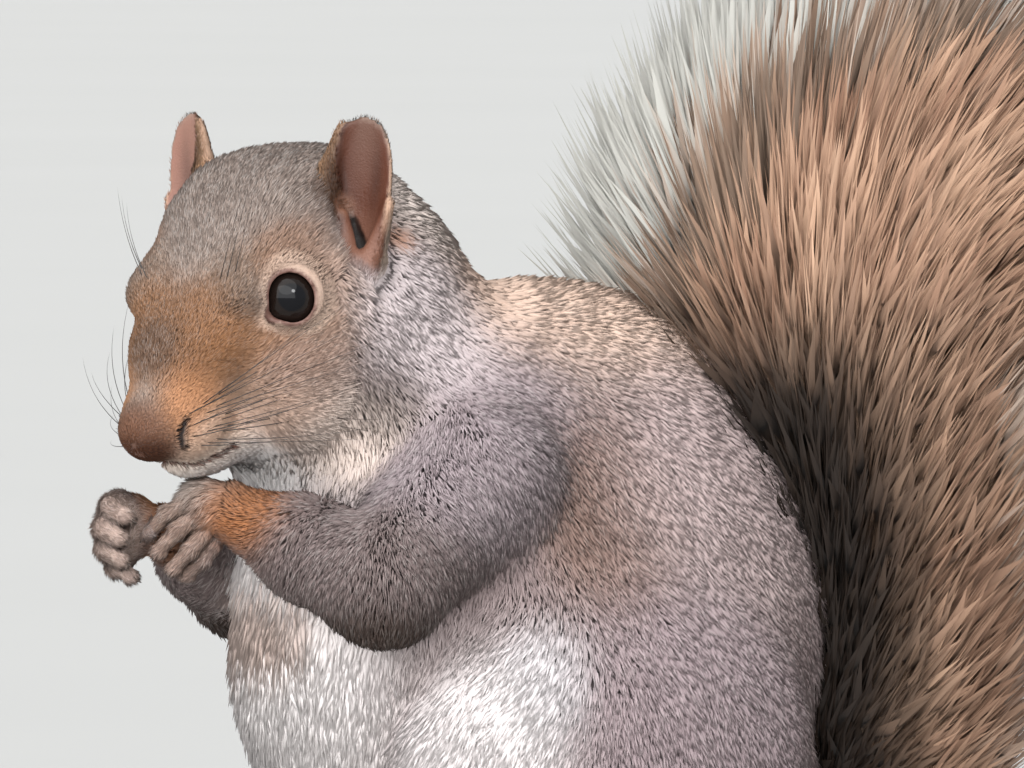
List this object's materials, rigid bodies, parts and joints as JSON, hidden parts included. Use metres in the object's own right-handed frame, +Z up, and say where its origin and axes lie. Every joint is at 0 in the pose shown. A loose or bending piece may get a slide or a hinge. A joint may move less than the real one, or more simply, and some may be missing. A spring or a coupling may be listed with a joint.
{
  "type": "grey squirrel",
  "caption": "Life-size still model of an eastern grey squirrel sitting up, forepaws together under its chin and bushy tail arched up behind its back.",
  "frame": {"origin": "on the floor, under the middle of the whole animal's box", "axes": "+Z up; the trunk faces -Y and the tail reaches to +Y, and +X is the animal's own left side"},
  "size_m": [0.1086, 0.2586, 0.1854],
  "materials": {
    "grey_coat": "grizzled warm grey winter fur with dark ticks, tan along the spine and rust on the muzzle",
    "pale_coat": "soft white to cream fur",
    "tail_coat": "long banded hair: tan, then dark, then silvery white at the tips",
    "ear_skin": "thin reddish brown skin with short fine hair and a pale rim",
    "paw_skin": "pinkish brown skin under short grey-brown hair",
    "eye": "wet, very dark brown and fully glossy",
    "claw": "dark polished horn"
  },
  "bodies": {
    "root": {"belly": "pale_coat", "chest": "grey_coat", "claw_foot_left_1": "claw", "claw_foot_left_2": "claw", "claw_foot_left_3": "claw", "claw_foot_left_4": "claw", "claw_foot_left_5": "claw", "claw_foot_right_1": "claw", "claw_foot_right_2": "claw", "claw_foot_right_3": "claw", "claw_foot_right_4": "claw", "claw_foot_right_5": "claw", "claw_hand_left_1": "claw", "claw_hand_left_2": "claw", "claw_hand_left_3": "claw", "claw_hand_left_4": "claw", "claw_hand_right_1": "claw", "claw_hand_right_2": "claw", "claw_hand_right_3": "claw", "claw_hand_right_4": "claw", "ear_left": "ear_skin", "ear_right": "ear_skin", "eye_left": "eye", "eye_right": "eye", "foot_left": "paw_skin", "foot_right": "paw_skin", "forearm_left": "grey_coat", "forearm_right": "grey_coat", "hand_left": "paw_skin", "hand_right": "paw_skin", "head": "grey_coat", "lower_jaw": "pale_coat", "muzzle": "grey_coat", "neck": "grey_coat", "rump": "grey_coat", "tail_lower": "tail_coat", "tail_middle": "tail_coat", "tail_root": "tail_coat", "tail_tip": "tail_coat", "tail_upper": "tail_coat", "thigh_left": "grey_coat", "thigh_right": "grey_coat", "upper_arm_left": "grey_coat", "upper_arm_right": "grey_coat"}
  },
  "joints": []
}
